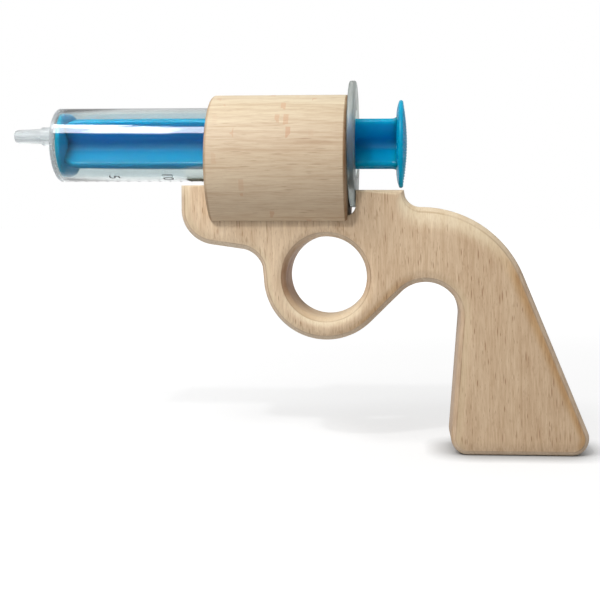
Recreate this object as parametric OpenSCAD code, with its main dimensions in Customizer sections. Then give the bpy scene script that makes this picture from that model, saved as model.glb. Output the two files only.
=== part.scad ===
// Wooden toy water squirter: a flat beech pistol frame, a beech drum and a two-piece syringe.
// X points from muzzle to grip, Z is up, Y = 0 is the middle of the board.
// The origin is the centre of the grip's flat foot.

/* [Syringe] */
// Height of the syringe axis above the foot
syringe_z = 90.5; // [84:0.5:100]
// Inner diameter of the barrel
bore_d = 20; // [16:0.2:23]
// Wall of the barrel tube
barrel_wall = 0.9; // [0.7:0.1:2]
// Length of the barrel from its front face to the back of its flange
barrel_len = 89; // [75:1:110]
// Thickness of the barrel's front wall
front_wall = 1.3; // [0.8:0.1:3]
// Diameter of the round finger flange
flange_d = 37.2; // [32:0.2:39]
// Thickness of the finger flange
flange_t = 2; // [1.2:0.1:3]
// Height of the nozzle above the syringe axis
nozzle_rise = 2.7; // [0:0.1:5]
// Length of the nozzle collar
collar_len = 5.6; // [3:0.1:8]
// Diameter of the nozzle collar
collar_d = 5.5; // [5:0.1:8]
// Length of the tapered nozzle tip
tip_len = 8.2; // [6:0.1:12]
// Diameter of the nozzle at its tip
tip_d = 4; // [3.2:0.1:4.6]
// Diameter of the nozzle where it meets the collar
tip_root_d = 4.5; // [3.6:0.1:5]
// Diameter of the fluid channel in the nozzle
channel_d = 2; // [1:0.1:2.6]
// Height of the retaining ridge inside the barrel's mouth
ridge_h = 0.25; // [0.15:0.05:0.5]
// Distance of the retaining ridge from the back of the flange
ridge_back = 8; // [5:0.5:15]

/* [Plunger] */
// Thickness of the piston disc
piston_t = 1.3; // [0.8:0.1:3]
// Length of the plunger from the piston's front to the thumb plate's front
plunger_len = 99.2; // [90:0.2:125]
// Thickness of the four fins
fin_t = 2.2; // [1.2:0.1:4]
// Gap from the fin tips to the barrel
fin_gap = 0.6; // [0.4:0.1:2]
// How far the fins narrow towards the piston
fin_dip = 1.8; // [0.5:0.1:4]
// Length over which the fins narrow
fin_dip_len = 5; // [2:0.5:12]
// Diameter of the thumb plate
thumb_d = 25.8; // [22:0.2:28]
// Thickness of the thumb plate's rim
thumb_rim = 1.4; // [0.8:0.1:3]
// Height of the thumb plate's dome
thumb_dome = 1.8; // [0.6:0.1:3]

/* [Drum] */
// Diameter of the drum
drum_d = 40; // [36:0.5:46]
// Length of the drum
drum_len = 40; // [30:1:46]
// Distance from the foot's centre to the back of the drum
drum_back = 49.9; // [46:0.1:54]
// How far the bore sits above the drum's own axis
bore_rise = 5.5; // [3:0.1:6.5]
// Broken edge at both ends of the drum
drum_edge = 0.7; // [0.3:0.1:1.5]

/* [Frame board] */
// Thickness of the board
board_t = 20; // [16:0.5:25]
// Roundover on the board's edges
edge_r = 2; // [0.8:0.1:3]
// Distance from the drum's front to the front of the stub
stub_len = 8.7; // [5:0.1:14]
// Straight height of the stub's front
stub_face = 7; // [3:0.1:10]
// Radius under the stub's front
nose_r = 10.3; // [6:0.1:12]
// Radius in the corners of the drum notch
notch_r = 3; // [1:0.1:3.4]

/* [Finger ring] */
// Distance from the foot's centre to the ring's centre
ring_ahead = 56.2; // [52:0.1:62]
// Height of the ring's centre
ring_z = 51.6; // [48:0.1:54]
// Diameter of the finger hole
finger_d = 23.5; // [20:0.5:27]
// Wood around the finger hole
ring_wall = 6.6; // [5:0.1:8]
// Inside radius between stub and ring
throat_r = 7.3; // [4:0.1:9]

/* [Grip] */
// Length of the foot
foot_len = 39.8; // [34:0.2:46]
// Radius at both ends of the foot
foot_r = 5; // [3.5:0.1:8]
// Distance from the foot's centre to the middle of the arch in front of the grip
arch_ahead = 27.4; // [25:0.1:29]
// Height of the arch's centre
arch_z = 40.2; // [36:0.1:43]
// Radius of the arch
arch_r = 10; // [8:0.1:11]
// Distance from the foot's centre to the centre of the back curve
back_ahead = 28.9; // [26:0.1:32]
// Height of the back curve's centre
back_z = 39.8; // [37:0.1:42]
// Radius of the back curve
back_r = 32.1; // [30:0.1:33]

/* [Fits] */
// Gap of a running fit, on the radius
run_fit = 0.1; // [0.05:0.01:0.2]
// Gap of a glued joint
glue_gap = 0.05; // [0.03:0.01:0.1]
// Gap on each side of the flange in its slot
flange_gap = 0.15; // [0.1:0.05:0.4]
// Gap between the flange and the notch floor
floor_gap = 2.5; // [1.5:0.1:4]
// Gap between the barrel and the top of the stub
stub_gap = 1.4; // [0.6:0.1:3]
// Gap between the thumb plate and the rear lug
lug_gap = 0.8; // [0.5:0.1:2]
// Gap between the piston and the barrel's front wall
piston_gap = 0.2; // [0.1:0.05:0.6]

/* [Hidden] */
$fn = 96;
beech = [0.83, 0.71, 0.56];
beech_light = [0.88, 0.78, 0.63];
clear_plastic = [0.85, 0.9, 0.9, 0.4];
blue_plastic = [0.05, 0.5, 0.75];

// Overrun of a cutting shape past the face it cuts
over = 1;
// Slope at which the roundover leaves each face, as a share of its radius
edge_lift = 0.2;
// Depth by which straight runs and hollows are set in, so that they cross the arcs they join
seat = 0.01;
// Overlap of neighbouring cuts, along the outline
lap = 2;

// Syringe
bore_r = bore_d / 2;
barrel_r = bore_r + barrel_wall;
flange_r = flange_d / 2;
drum_rear_x = -drum_back;
drum_front_x = drum_rear_x - drum_len;
flange_back_x = drum_rear_x + flange_gap + flange_t;
barrel_front_x = flange_back_x - barrel_len;
piston_front_x = barrel_front_x + front_wall + piston_gap;
thumb_front_x = piston_front_x + plunger_len;
piston_r = bore_r - run_fit;
fin_r = bore_r - fin_gap;
thumb_r = thumb_d / 2;

// Drum
drum_r = drum_d / 2;
drum_z = syringe_z - bore_rise;
drum_bore_r = barrel_r + run_fit;

// Heights of the frame's top edge
notch_floor = syringe_z - flange_r - floor_gap;
stub_top = syringe_z - barrel_r - stub_gap;
lug_top = syringe_z - thumb_r - lug_gap;
notch_front_x = drum_front_x - glue_gap;
notch_rear_x = flange_back_x + flange_gap;

// Frame outline, as arcs joined by their common tangents. Each arc is
// [centre x, centre z, radius]: a positive radius bulges out of the wood,
// a negative one is hollowed into it and a zero is a sharp corner.
stub_x = drum_front_x - stub_len;
ring_x = -ring_ahead;
finger_r = finger_d / 2;
ring_r = finger_r + ring_wall;
throat_reach = ring_r + throat_r + glue_gap;
throat_turn = 178;
back_x = -back_ahead;
cove_r = lug_top - back_z - back_r;
foot_x = foot_len / 2 - foot_r;
arcs = [
  [stub_x, stub_top, 0],
  [stub_x + nose_r, stub_top - stub_face, nose_r],
  [ring_x + throat_reach * cos(throat_turn), ring_z + throat_reach * sin(throat_turn), -throat_r],
  [ring_x, ring_z, ring_r],
  [-arch_ahead, arch_z, -arch_r],
  [-foot_x, foot_r - seat, foot_r],
  [foot_x, foot_r - seat, foot_r],
  [back_x, back_z, back_r],
  [back_x, lug_top, -cove_r],
  [back_x - cove_r, lug_top, 0],
  [notch_rear_x, lug_top, 0],
  [notch_rear_x - notch_r, notch_floor + notch_r, -notch_r],
  [notch_front_x + notch_r, notch_floor + notch_r, -notch_r],
  [notch_front_x, stub_top, 0]
];
arc_count = len(arcs);
// The roundover runs from the top of the stub, under the frame, to the end of the cove.
rounded_arcs = [1 : 8];
rounded_runs = [0 : 7];

// Heading of the straight run from arc a to arc b.
function heading(a, b) =
  let (v = [b[0] - a[0], b[1] - a[1]])
  atan2(v[1], v[0]) - asin(max(-1, min(1, (b[2] - a[2]) / norm(v))));

// Point where a straight run with heading h meets arc a.
function touch(a, h) = [a[0] + a[2] * sin(h), a[1] - a[2] * cos(h)];

headings = [for (i = [0 : arc_count - 1]) heading(arcs[i], arcs[(i + 1) % arc_count])];
function arrival(i) = headings[(i + arc_count - 1) % arc_count];
function wrap(a) = a < 0 ? a + 360 : a;
function sweep(i) = wrap(arcs[i][2] > 0 ? headings[i] - arrival(i) : arrival(i) - headings[i]);
// Angle, about an arc's centre, at which its sweep begins, counted anticlockwise.
function sweep_start(i) = arcs[i][2] > 0 ? arrival(i) - 90 : headings[i] + 90;

// Angle of the overlap on arc i.
function lap_angle(i) = 180 / PI * lap / abs(arcs[i][2]);

// The runs, set in by the seat: two points for an arc, one for a sharp corner.
function normal(h) = [sin(h), -cos(h)];
function corner(i) =
  let (n = normal(arrival(i)), m = normal(headings[i]))
  [arcs[i][0], arcs[i][1]] - seat / (1 + n * m) * (n + m);
function set_in(i) = [arcs[i][0], arcs[i][1], arcs[i][2] - seat];
outline_points = [
  for (i = [0 : arc_count - 1])
    for (p = arcs[i][2] == 0 ? [corner(i)] : [touch(set_in(i), arrival(i)), touch(set_in(i), headings[i])])
      p
];

// Solid sector of a disc that fills a bulging arc out to its round.
module sector(i) {
  wedge_steps = 6;
  reach = 2 * arcs[i][2];
  from = sweep_start(i) - lap_angle(i);
  turn = sweep(i) + 2 * lap_angle(i);
  translate([arcs[i][0], arcs[i][1]])
    intersection() {
      circle(r = arcs[i][2]);
      polygon(concat([[0, 0]], [
        for (k = [0 : wedge_steps])
          let (a = from + turn * k / wedge_steps)
          reach * [cos(a), sin(a)]
      ]));
    }
}

// Flat outline of the frame, in X and Z.
module frame_outline() {
  difference() {
    union() {
      polygon(outline_points);
      for (i = [0 : arc_count - 1])
        if (arcs[i][2] > 0) sector(i);
    }
    for (a = arcs)
      if (a[2] < 0) translate([a[0], a[1]]) circle(r = 2 * seat - a[2]);
  }
}

// Waste outside the roundover: x runs into the wood from its wall, y from mid-board to its face.
module edge_waste() {
  centre = edge_r * (1 + edge_lift);
  difference() {
    translate([-over, board_t / 2 - centre]) square(centre + over);
    translate([centre, board_t / 2 - centre]) circle(r = norm([centre, edge_lift * edge_r]));
  }
}

// The waste along arc i, and along the whole finger hole.
module arc_waste(i) {
  bulge = arcs[i][2];
  past = bulge > 0 ? 0 : lap_angle(i);
  wall_r = bulge > 0 ? bulge : 2 * seat - bulge;
  translate([arcs[i][0], arcs[i][1], 0])
    rotate([0, 0, sweep_start(i) - past])
      rotate_extrude(angle = sweep(i) + 2 * past)
        translate([wall_r, 0])
          mirror([bulge > 0 ? 1 : 0, 0]) edge_waste();
}

module finger_waste() {
  translate([ring_x, ring_z, 0])
    rotate_extrude() translate([finger_r, 0]) edge_waste();
}

// The waste along the straight run after arc i.
module run_waste(i) {
  from = touch(arcs[i], headings[i]);
  to = touch(arcs[(i + 1) % arc_count], headings[i]);
  length = norm(to - from);
  before = arcs[i][2] < 0 ? 0 : lap;
  after = arcs[(i + 1) % arc_count][2] < 0 ? 0 : lap;
  if (length > glue_gap)
    translate([from[0], from[1], 0])
      rotate([0, 0, headings[i]])
        translate([-before, seat, 0])
          rotate([90, 0, 90]) linear_extrude(length + before + after) edge_waste();
}

// One flat board, sawn to the outline, drilled for a finger and rounded over on both faces.
module frame() {
  color(beech)
    rotate([90, 0, 0])
      difference() {
        linear_extrude(board_t, center = true) frame_outline();
        translate([ring_x, ring_z, 0]) cylinder(r = finger_r, h = board_t + over, center = true);
        for (side = [0, 1])
          mirror([0, 0, side]) {
            for (i = rounded_arcs) arc_waste(i);
            for (i = rounded_runs) run_waste(i);
            finger_waste();
          }
      }
}

// Room that the notch leaves for the drum, with the glue gap taken off.
module notch_room() {
  front = notch_front_x + glue_gap;
  rear = notch_rear_x - glue_gap;
  floor_z = notch_floor + glue_gap;
  corner_r = notch_r - glue_gap;
  tall = drum_d;
  translate([front + corner_r, floor_z]) square([rear - front - 2 * corner_r, tall]);
  translate([front, floor_z + corner_r]) square([rear - front, tall]);
  for (x = [front + corner_r, rear - corner_r])
    translate([x, floor_z + corner_r]) circle(r = corner_r);
}

// Turned beech drum, bored off centre and slotted underneath to sit over the notch.
module drum() {
  color(beech_light)
    difference() {
      translate([drum_front_x, 0, drum_z])
        rotate([0, 90, 0])
          rotate_extrude()
            polygon([
              [0, 0],
              [drum_r - drum_edge, 0],
              [drum_r, drum_edge],
              [drum_r, drum_len - drum_edge],
              [drum_r - drum_edge, drum_len],
              [0, drum_len]
            ]);
      translate([drum_front_x - over, 0, syringe_z])
        rotate([0, 90, 0]) cylinder(r = drum_bore_r, h = drum_len + 2 * over);
      rotate([90, 0, 0])
        linear_extrude(board_t + 2 * glue_gap, center = true)
          difference() {
            translate([drum_front_x - over, drum_z - drum_d])
              square([drum_len + 2 * over, notch_floor + notch_r + drum_d - drum_z]);
            notch_room();
          }
    }
}

// Clear moulding: tube, front wall, full round flange, ridge in its mouth and off-centre nozzle.
module syringe_barrel() {
  flange_x = barrel_len - flange_t;
  ridge_x = barrel_len - ridge_back;
  nozzle_len = collar_len + tip_len;
  color(clear_plastic)
    translate([barrel_front_x, 0, syringe_z])
      rotate([0, 90, 0])
        difference() {
          union() {
            rotate_extrude()
              polygon([
                [0, 0],
                [barrel_r, 0],
                [barrel_r, flange_x],
                [flange_r, flange_x],
                [flange_r, barrel_len],
                [bore_r, barrel_len],
                [bore_r, ridge_x + ridge_h],
                [bore_r - ridge_h, ridge_x],
                [bore_r, ridge_x - ridge_h],
                [bore_r, front_wall],
                [0, front_wall]
              ]);
            translate([-nozzle_rise, 0, -collar_len]) cylinder(d = collar_d, h = collar_len);
            translate([-nozzle_rise, 0, -nozzle_len]) cylinder(d1 = tip_d, d2 = tip_root_d, h = tip_len);
          }
          translate([-nozzle_rise, 0, -nozzle_len - over])
            cylinder(d = channel_d, h = nozzle_len + front_wall + 2 * over);
        }
}

// Blue moulding: piston disc, four fins set like an X and a domed thumb plate.
module plunger() {
  fin_len = plunger_len - piston_t;
  dome_r = (thumb_r * thumb_r + thumb_dome * thumb_dome) / (2 * thumb_dome);
  color(blue_plastic)
    translate([piston_front_x, 0, syringe_z])
      rotate([0, 90, 0]) {
        cylinder(r = piston_r, h = piston_t);
        intersection() {
          for (turn = [45, 135])
            rotate([0, 0, turn])
              translate([-fin_r, -fin_t / 2, piston_t]) cube([2 * fin_r, fin_t, fin_len]);
          translate([0, 0, piston_t])
            rotate_extrude()
              polygon([
                [0, 0],
                [fin_r - fin_dip, 0],
                [fin_r, fin_dip_len],
                [fin_r, fin_len],
                [0, fin_len]
              ]);
        }
        translate([0, 0, plunger_len]) cylinder(r = thumb_r, h = thumb_rim);
        translate([0, 0, plunger_len + thumb_rim])
          intersection() {
            translate([0, 0, thumb_dome - dome_r]) sphere(r = dome_r);
            cylinder(r = thumb_r, h = thumb_dome);
          }
      }
}

frame();
drum();
syringe_barrel();
plunger();
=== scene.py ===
import math

import bmesh
import bpy
import numpy as np
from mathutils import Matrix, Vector
from mathutils.geometry import tessellate_polygon


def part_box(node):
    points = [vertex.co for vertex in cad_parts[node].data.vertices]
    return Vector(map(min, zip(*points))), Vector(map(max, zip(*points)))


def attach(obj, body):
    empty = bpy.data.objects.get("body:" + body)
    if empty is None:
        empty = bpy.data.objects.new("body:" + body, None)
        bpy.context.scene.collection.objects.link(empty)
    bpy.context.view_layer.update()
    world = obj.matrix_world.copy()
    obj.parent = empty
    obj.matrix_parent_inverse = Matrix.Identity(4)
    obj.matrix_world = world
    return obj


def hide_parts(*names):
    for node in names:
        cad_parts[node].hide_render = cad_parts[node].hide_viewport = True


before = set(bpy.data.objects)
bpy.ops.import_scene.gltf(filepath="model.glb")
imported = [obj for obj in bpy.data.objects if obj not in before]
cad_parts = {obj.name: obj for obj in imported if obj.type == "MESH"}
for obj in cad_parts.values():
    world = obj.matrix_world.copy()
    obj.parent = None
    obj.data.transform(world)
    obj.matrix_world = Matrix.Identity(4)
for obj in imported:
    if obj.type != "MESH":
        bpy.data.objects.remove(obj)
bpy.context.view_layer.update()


# Frame board
# One flat beech board, 20 mm thick, sawn to a pistol outline with a finger ring and a notch for the drum.
# Its edges are routed round, and the face is sanded into soft shoulders next to them.

MM = 0.001
board_low, board_high = (np.array(corner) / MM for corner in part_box("frame"))
syringe_z = sum(corner[2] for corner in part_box("syringe_barrel")) / 2 / MM
board_half = (board_high[1] - board_low[1]) / 2
stub_x = board_low[0]
stub_top = board_high[2]
lug_drop, notch_drop = 13.7, 21.1
lug_top = syringe_z - lug_drop
notch_floor = syringe_z - notch_drop
notch_front_x, notch_rear_x, notch_r = -89.95, -47.6, 3.0
nose_r, stub_face = 10.3, 7.0
ring_x, ring_z, ring_r, finger_r = -56.2, 51.6, 18.35, 11.75
throat_r, throat_reach, throat_turn = 7.3, 25.7, math.radians(178)
arch_x, arch_z, arch_r = -27.4, 40.2, 10.0
back_x, back_z, back_r = -28.9, 39.8, 32.1
cove_r = lug_top - back_z - back_r
foot_x, foot_r = 14.89, 5.0

# Roundover and width of the sanded shoulder beside it, in mm, and the shoulder's steepest slope.
CRISP = (0.3, 0.3, 0.16)
SLIM = (1.4, 1.0, 0.3)
RING = (2.7, 1.9, 0.45)
SOFT = (2.3, 2.5, 0.32)
BACK = (2.3, 3.6, 0.26)
FULL = (2.3, 6.0, 0.26)
FOOT = (2.2, 2.6, 0.26)

# Each row of the outline: centre x, centre z, signed radius, finish on arrival, finish on departure.
outline_rows = [
    (stub_x, stub_top, 0, CRISP, SOFT),
    (stub_x + nose_r, stub_top - stub_face, nose_r, SOFT, SOFT),
    (
        ring_x + throat_reach * math.cos(throat_turn),
        ring_z + throat_reach * math.sin(throat_turn),
        -throat_r,
        SOFT,
        RING,
    ),
    (ring_x, ring_z, ring_r, RING, RING),
    (arch_x, arch_z, -arch_r, SOFT, SOFT),
    (-foot_x, foot_r, foot_r, FOOT, FOOT),
    (foot_x, foot_r, foot_r, FOOT, FOOT),
    (back_x, back_z, back_r, BACK, FULL),
    (back_x, lug_top, -cove_r, FULL, SLIM),
    (back_x - cove_r, lug_top, 0, SLIM, SLIM),
    (notch_rear_x, lug_top, 0, CRISP, CRISP),
    (notch_rear_x - notch_r, notch_floor + notch_r, -notch_r, CRISP, CRISP),
    (notch_front_x + notch_r, notch_floor + notch_r, -notch_r, CRISP, CRISP),
    (notch_front_x, stub_top, 0, CRISP, CRISP),
]


# Along the outline, the points next to a sharp corner keep this far clear of its mitre, in mm.
CORNER_CLEAR = 2.0


def outline_path(rows, arc_step=0.45, run_step=2.0):
    """Arcs joined by their common tangents, as arrays of points, two outward normals and their finishes.

    A straight run from arc a to arc b has the heading of the line between the centres, less the arc
    sine of the difference of the signed radii over their distance. An arc turns the normal from one
    heading to the next, and its points are the centre plus the signed radius times that normal.
    Only a sharp corner has a second normal.
    """
    arcs = np.array([row[:3] for row in rows], float)
    ahead = np.roll(arcs, -1, axis=0) - arcs
    reach = np.hypot(ahead[:, 0], ahead[:, 1])
    leave = np.arctan2(ahead[:, 1], ahead[:, 0]) - np.arcsin(np.clip(ahead[:, 2] / reach, -1, 1))
    arrive = np.roll(leave, 1)

    def outward(angle):
        return np.stack([np.sin(angle), -np.cos(angle)], axis=-1)

    points, first, second, soft_first, soft_second = [], [], [], [], []

    def add(p, n, m, s, t):
        for store, part in zip((points, first, second, soft_first, soft_second), (p, n, m, s, t)):
            store.append(np.atleast_2d(part))

    count = len(rows)
    for i, (x, z, r, soft_in, soft_out) in enumerate(rows):
        centre = np.array([x, z])
        nx, nz, nr, next_in, _ = rows[(i + 1) % count]
        target = np.array([nx, nz]) + nr * outward(leave[i])
        if r == 0:
            add(centre, outward(arrive[i]), outward(leave[i]), soft_in, soft_out)
            last = centre
        else:
            sign = 1 if r > 0 else -1
            turn = sign * np.mod(sign * (leave[i] - arrive[i]), 2 * np.pi)
            steps = max(4, int(abs(turn * r) / arc_step))
            at_corner = np.hypot(*(target - centre - r * outward(leave[i]))) < CORNER_CLEAR
            along = np.linspace(0, 1 - at_corner * CORNER_CLEAR / abs(turn * r), steps)[:, None]
            normals = outward(arrive[i] + turn * along[:, 0])
            arc = centre + r * normals
            soft = np.array(soft_in) + (np.array(soft_out) - soft_in) * along
            add(arc, normals, np.zeros_like(arc), soft, np.zeros_like(soft))
            last = arc[-1]
        length = np.hypot(*(target - last))
        pieces = int(length / run_step)
        if pieces > 0:
            clear = 2 * CORNER_CLEAR / length if pieces > 2 else 0.3
            low = clear if r == 0 else 1 / (pieces + 1)
            high = 1 - clear if nr == 0 else pieces / (pieces + 1)
            along = np.linspace(low, high, pieces)[:, None]
            run = last + (target - last) * along
            ease = along * along * (3 - 2 * along)
            soft = np.array(soft_out) + (np.array(next_in) - soft_out) * ease
            normals = np.repeat(outward(leave[i])[None], pieces, axis=0)
            add(run, normals, np.zeros_like(run), soft, np.zeros_like(soft))
    return [np.concatenate(store) for store in (points, first, second, soft_first, soft_second)]


# Across an edge: the rows of the roundover, how much steeper than the shoulder it ends, the shoulder's rows as
# shares of its width, the power by which it falls, and how far in the last row lies on the face, in mm.
ARC_ROWS = 8
CREASE_STEP = math.radians(8)
SHOULDER_ROWS = np.array([0.07, 0.2, 0.4, 0.6, 0.8, 1.0])
SHOULDER_FALL = 1.5
FACE_MARGIN = 0.15


def edge_section(finish):
    """Inset and depth of a routed edge, from its wall to the flat face, for rows of finishes.

    The roundover is an arc from the wall to the crease, where it is still a few degrees steeper than the
    shoulder. The shoulder's depth is a power of what is left of its width, and one more row lies on the face.
    """
    roundover, shoulder, slope = np.split(np.asarray(finish, float), 3, axis=-1)
    bend = np.pi / 2 - np.arctan(slope) - CREASE_STEP
    arc = bend * np.linspace(0, 1, ARC_ROWS)
    drop = slope * shoulder / SHOULDER_FALL
    arc_inset = roundover * (1 - np.cos(arc))
    arc_depth = drop + roundover * (np.sin(bend) - np.sin(arc))
    crease = arc_inset[..., -1:]
    flat_inset = crease + shoulder * SHOULDER_ROWS
    flat_depth = drop * (1 - SHOULDER_ROWS) ** SHOULDER_FALL
    hold = crease + shoulder + FACE_MARGIN
    inset = np.concatenate([arc_inset, flat_inset, hold], axis=-1)
    depth = np.concatenate([arc_depth, flat_depth, 0 * hold], axis=-1)
    return inset, depth


# Marks across the section, row by row: on the crease, on wall and roundover, and on the shoulder.
crease_mark = np.zeros(ARC_ROWS + len(SHOULDER_ROWS) + 1)
crease_mark[ARC_ROWS - 1] = 1
edge_mark = np.concatenate([np.ones(ARC_ROWS - 1), [0.8, 0.2], np.zeros(len(SHOULDER_ROWS))])
shoulder_mark = np.concatenate([np.zeros(ARC_ROWS - 1), [0.3, 1, 0.95, 0.8, 0.5, 0.15, 0, 0]])


def grid_quads(rows, columns, first=0, close_rows=False, close_columns=True):
    """Corner numbers of a grid's quads, optionally closed round on itself in either direction."""
    r = np.arange(rows if close_rows else rows - 1)[:, None]
    c = np.arange(columns if close_columns else columns - 1)[None, :]
    r2, c2 = (r + 1) % rows, (c + 1) % columns
    quads = np.stack([r * columns + c, r * columns + c2, r2 * columns + c2, r2 * columns + c], axis=-1)
    return first + quads.reshape(-1, 4)


def new_piece(name, points_mm, faces, body, node, marks=None, sharp_deg=32):
    """A mesh object from points in mm and faces, with doubles merged, normals pointing out and its body named."""
    mesh = bpy.data.meshes.new(name)
    mesh.from_pydata((np.asarray(points_mm) * MM).tolist(), [], faces)
    for mark, values in (marks or {}).items():
        layer = mesh.attributes.new(mark, "FLOAT", "POINT")
        layer.data.foreach_set("value", np.asarray(values, np.float32))
    shape = bmesh.new()
    shape.from_mesh(mesh)
    bmesh.ops.remove_doubles(shape, verts=shape.verts, dist=2e-7)
    bmesh.ops.dissolve_degenerate(shape, edges=shape.edges, dist=1e-8)
    bmesh.ops.recalc_face_normals(shape, faces=shape.faces)
    shape.to_mesh(mesh)
    shape.free()
    mesh.polygons.foreach_set("use_smooth", np.ones(len(mesh.polygons), bool))
    mesh.set_sharp_from_angle(angle=math.radians(sharp_deg))
    piece = bpy.data.objects.new(name, mesh)
    bpy.context.collection.objects.link(piece)
    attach(piece, body)
    if node:
        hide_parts(node)
    return piece


def board_loops(points, first, second, soft_first, soft_second):
    """The board's outer skin: the edge section carried along the outline, on both faces.

    A row's point is the outline's point less its inset along each normal, and its depth is that of the
    first edge, or of the coarser edge at a corner.
    """
    inset_1, depth_1 = edge_section(soft_first)
    inset_2, depth_2 = edge_section(soft_second)
    flat = points[:, None, :] - inset_1[..., None] * first[:, None, :] - inset_2[..., None] * second[:, None, :]
    depth = np.maximum(depth_1, depth_2)
    front = np.stack([flat[..., 0], depth - board_half, flat[..., 1]], axis=-1)
    back = np.stack([flat[..., 0], board_half - depth, flat[..., 1]], axis=-1)
    return np.concatenate([front[:, ::-1], back], axis=1)


def hole_loops(centre_x, centre_z, radius, finish, columns):
    """The finger hole's skin: the same edge section turned about the hole's axis."""
    inset, depth = edge_section([finish])
    angle = np.linspace(0, 2 * np.pi, columns, endpoint=False)[:, None]
    x = centre_x + (radius + inset) * np.cos(angle)
    z = centre_z + (radius + inset) * np.sin(angle)
    y = np.broadcast_to(depth - board_half, x.shape)
    front = np.stack([x, y, z], axis=-1)
    return np.concatenate([front[:, ::-1], front * [1, -1, 1]], axis=1)


hole_columns = 168
outline = outline_path(outline_rows)
skin = board_loops(*outline)
hole = hole_loops(ring_x, ring_z, finger_r, RING, hole_columns)
rows_across = skin.shape[1]
skin_count = skin.shape[0] * rows_across
skin_quads = grid_quads(skin.shape[0], rows_across, 0, close_rows=True, close_columns=False)
hole_quads = grid_quads(hole.shape[0], rows_across, skin_count, close_rows=True, close_columns=False)
flat_faces = []
for row in (0, rows_across - 1):
    numbers = np.concatenate(
        [
            np.arange(skin.shape[0]) * rows_across + row,
            skin_count + np.arange(hole.shape[0]) * rows_across + row,
        ]
    )
    triangles = np.array(tessellate_polygon([skin[:, row].tolist(), hole[:, row].tolist()]))
    flat_faces.append(numbers[triangles])
board_points = np.concatenate([skin.reshape(-1, 3), hole.reshape(-1, 3)])
board_faces = skin_quads.tolist() + hole_quads.tolist() + flat_faces[0].tolist() + flat_faces[1].tolist()
across = np.concatenate([edge_mark[::-1], edge_mark])
crease = np.concatenate([crease_mark[::-1], crease_mark])
shoulder = np.concatenate([shoulder_mark[::-1], shoulder_mark])


def turned_to(facing, gain, start):
    """How far an edge is turned to one side, from 0 to 1: its facing times a gain, less a start."""
    return np.clip(facing * gain - start, 0, 1)


# The marks follow the way that each edge faces, and how low on the grip it lies; most of them carry painted light and
# shade.
grip_top, grip_fade = 66, 14
hole_turn = np.linspace(0, 2 * np.pi, hole_columns, endpoint=False)[:, None]
facing_x, facing_z = np.split(outline[1], 2, axis=1)
low_down = np.clip((grip_top - outline[0][:, 1:]) / grip_fade, 0, 1)
# Shoulders turned to the rear, low on the grip, get painted shade, and those turned to the front painted light.
painted_rear_shade = turned_to(facing_x, 1.3, 0.25) * low_down * shoulder
painted_front_light = turned_to(-facing_x, 1.3, 0.1) * shoulder
# Edges and shoulders turned up get a painted highlight.
upward = (outline[1] @ [[0.5], [0.87]]) * (1 - 0.8 * low_down)
upward = np.concatenate([upward, -np.sin(hole_turn)])
painted_top_light = turned_to(upward, 1.4, 0.3) * np.maximum(across, shoulder)
# Edges turned down, or to the rear low on the grip, get painted light.
downward = np.maximum(turned_to(-facing_z, 1.3, 0.2), turned_to(facing_x, 1.3, 0.4) * low_down)
downward = np.concatenate([downward, turned_to(np.sin(hole_turn), 1.3, 0.2)])
# The finger hole's left wall, turned away from the lamps, gets painted shade.
hole_shade_side = turned_to(-np.cos(hole_turn - 0.35), 0.85, -0.25)
board_marks = {
    "edge": np.tile(across, skin.shape[0] + hole.shape[0]),
    "crease": np.tile(crease, skin.shape[0] + hole.shape[0]),
    "painted_hole_shade": np.concatenate([np.zeros(skin_count), (hole_shade_side * across).ravel()]),
    "painted_rear_shade": np.concatenate([painted_rear_shade.ravel(), np.zeros(hole.size // 3)]),
    "painted_front_light": np.concatenate([painted_front_light.ravel(), np.zeros(hole.size // 3)]),
    "painted_top_light": painted_top_light.ravel(),
    "painted_edge_light": (downward * across).ravel(),
}
frame_piece = new_piece("frame_board", board_points, board_faces, "body", "frame", board_marks, sharp_deg=24)


def add_node(tree, kind, links=None, **settings):
    """A shader node with its settings, and with each named or numbered input linked or set."""
    made = tree.nodes.new("ShaderNode" + kind)
    for name, value in settings.items():
        setattr(made, name, value)
    for key, value in (links or {}).items():
        if isinstance(value, bpy.types.NodeSocket):
            tree.links.new(value, made.inputs[key])
        else:
            made.inputs[key].default_value = value
    return made


def mix_colour(tree, factor, a, b, blend="MIX"):
    """The Result socket of a colour mix, with the factor, A and B linked or set."""
    made = add_node(tree, "Mix", {0: factor, 6: a, 7: b}, data_type="RGBA", blend_type=blend)
    return made.outputs[2]


def sums(tree, operation, a, b=None, c=None, clamp=False):
    """The Value socket of a maths node with up to three inputs."""
    inputs = {i: v for i, v in enumerate((a, b, c)) if v is not None}
    return add_node(tree, "Math", inputs, operation=operation, use_clamp=clamp).outputs[0]


def ramp(tree, value, low, high, to_low=0.0, to_high=1.0):
    """The value carried smoothly from one range to another and held at its ends."""
    links = {"Value": value, "From Min": low, "From Max": high, "To Min": to_low, "To Max": to_high}
    return add_node(tree, "MapRange", links, interpolation_type="SMOOTHSTEP").outputs[0]


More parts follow.
